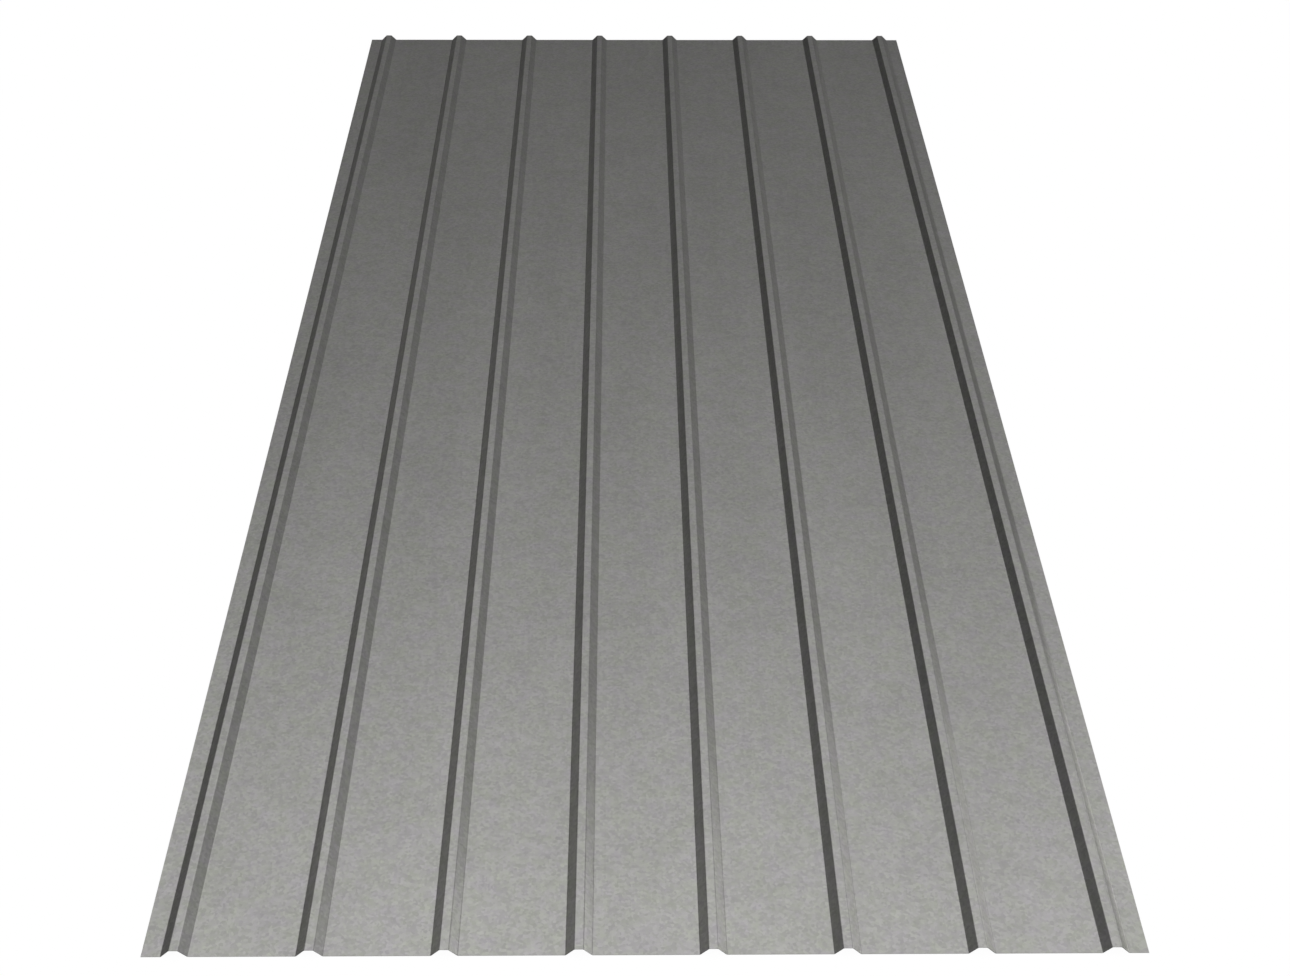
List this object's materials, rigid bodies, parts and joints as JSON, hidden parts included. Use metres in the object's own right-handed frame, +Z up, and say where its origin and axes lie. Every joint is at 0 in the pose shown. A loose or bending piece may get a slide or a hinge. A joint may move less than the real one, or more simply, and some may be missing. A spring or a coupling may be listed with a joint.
{
  "type": "roll-formed ribbed steel roofing sheet",
  "caption": "Bare metallic-coated steel roofing sheet with low trapezoidal ribs running its length between wide flat pans.",
  "frame": {"origin": "under the middle of the sheet, on the plane that its flat pans rest on", "axes": "+X across the ribs, +Y along the ribs, +Z up, out of the ribbed face"},
  "size_m": [0.91, 2, 0.0084],
  "materials": {
    "coated_steel": "aluminium-zinc coated steel, satin, with a fine spangle"
  },
  "bodies": {
    "root": {"profiled_sheet": "coated_steel"}
  },
  "joints": []
}
